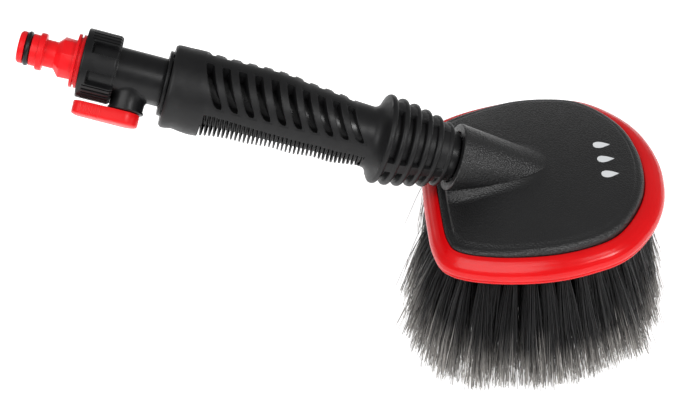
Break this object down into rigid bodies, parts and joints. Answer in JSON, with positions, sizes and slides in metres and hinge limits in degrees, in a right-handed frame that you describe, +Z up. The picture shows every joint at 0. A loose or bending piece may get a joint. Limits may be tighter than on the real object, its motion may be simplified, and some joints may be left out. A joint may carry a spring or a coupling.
{
  "type": "flow-through wash brush",
  "caption": "Hand-held wash brush fed by a hose: quick-connect inlet, swivel nut, lever ball valve, soft slotted grip and a wide splayed bristle head with a bumper rim.",
  "frame": {"origin": "centre of the bounding box on the floor plane, under the brush", "axes": "+Z up from the bristle tips; +X from the hose end towards the nose of the head; +Y sideways across the head"},
  "size_m": [0.2924, 0.1526, 0.1933],
  "materials": {
    "head_cover": "satin black, lightly grained",
    "bumper_rim": "glossy red",
    "bristle_block": "satin black, lightly grained",
    "block_gasket": "matte black rubber",
    "block_screw_1": "brushed stainless steel",
    "block_screw_2": "brushed stainless steel",
    "block_screw_3": "brushed stainless steel",
    "block_screw_4": "brushed stainless steel",
    "block_screw_5": "brushed stainless steel",
    "block_screw_6": "brushed stainless steel",
    "bristle_row_1": "black filaments with pale grey flagged tips",
    "bristle_row_2": "black filaments with pale grey flagged tips",
    "bristle_row_3": "black filaments with pale grey flagged tips",
    "bristle_row_4": "black filaments with pale grey flagged tips",
    "bristle_row_5": "black filaments with pale grey flagged tips",
    "handle_tube": "glossy black",
    "socket_o_ring": "matte black rubber",
    "grip_sleeve": "matte black rubber",
    "grip_end_ring": "satin black, lightly grained",
    "valve_body": "satin black, lightly grained",
    "tube_o_ring": "matte black rubber",
    "ball_seat_inlet": "white low-friction plastic",
    "ball_seat_outlet": "white low-friction plastic",
    "seat_retainer": "satin black, lightly grained",
    "hose_nipple": "bright red, satin gloss",
    "nipple_o_ring": "matte black rubber",
    "inlet_washer": "matte black rubber",
    "valve_lever": "glossy red",
    "lever_screw": "brushed stainless steel",
    "valve_stem": "brushed stainless steel",
    "stem_o_ring": "matte black rubber",
    "valve_ball": "brushed stainless steel",
    "coupling_nut": "satin black, lightly grained"
  },
  "bodies": {
    "brush": {"head_cover": "head_cover", "bumper_rim": "bumper_rim", "bristle_block": "bristle_block", "block_gasket": "block_gasket", "block_screw_1": "block_screw_1", "block_screw_2": "block_screw_2", "block_screw_3": "block_screw_3", "block_screw_4": "block_screw_4", "block_screw_5": "block_screw_5", "block_screw_6": "block_screw_6", "bristle_row_1": "bristle_row_1", "bristle_row_2": "bristle_row_2", "bristle_row_3": "bristle_row_3", "bristle_row_4": "bristle_row_4", "bristle_row_5": "bristle_row_5", "handle_tube": "handle_tube", "socket_o_ring": "socket_o_ring", "grip_sleeve": "grip_sleeve", "grip_end_ring": "grip_end_ring", "valve_body": "valve_body", "tube_o_ring": "tube_o_ring", "ball_seat_inlet": "ball_seat_inlet", "ball_seat_outlet": "ball_seat_outlet", "seat_retainer": "seat_retainer", "hose_nipple": "hose_nipple", "nipple_o_ring": "nipple_o_ring", "inlet_washer": "inlet_washer"},
    "lever": {"valve_lever": "valve_lever", "lever_screw": "lever_screw", "valve_stem": "valve_stem", "stem_o_ring": "stem_o_ring", "valve_ball": "valve_ball"},
    "nut": {"coupling_nut": "coupling_nut"}
  },
  "joints": [
    {"name": "lever_turn", "type": "hinge", "parent": "brush", "child": "lever", "pos_m": [-0.09627, 0, 0.16311], "axis": [-0.3232, -0.7071, -0.6289], "range_deg": [0, 90]},
    {"name": "nut_turn", "type": "hinge", "parent": "brush", "child": "nut", "pos_m": [-0.1105, 0, 0.17042], "axis": [-0.8894, 0, 0.4571], "continuous": true}
  ]
}
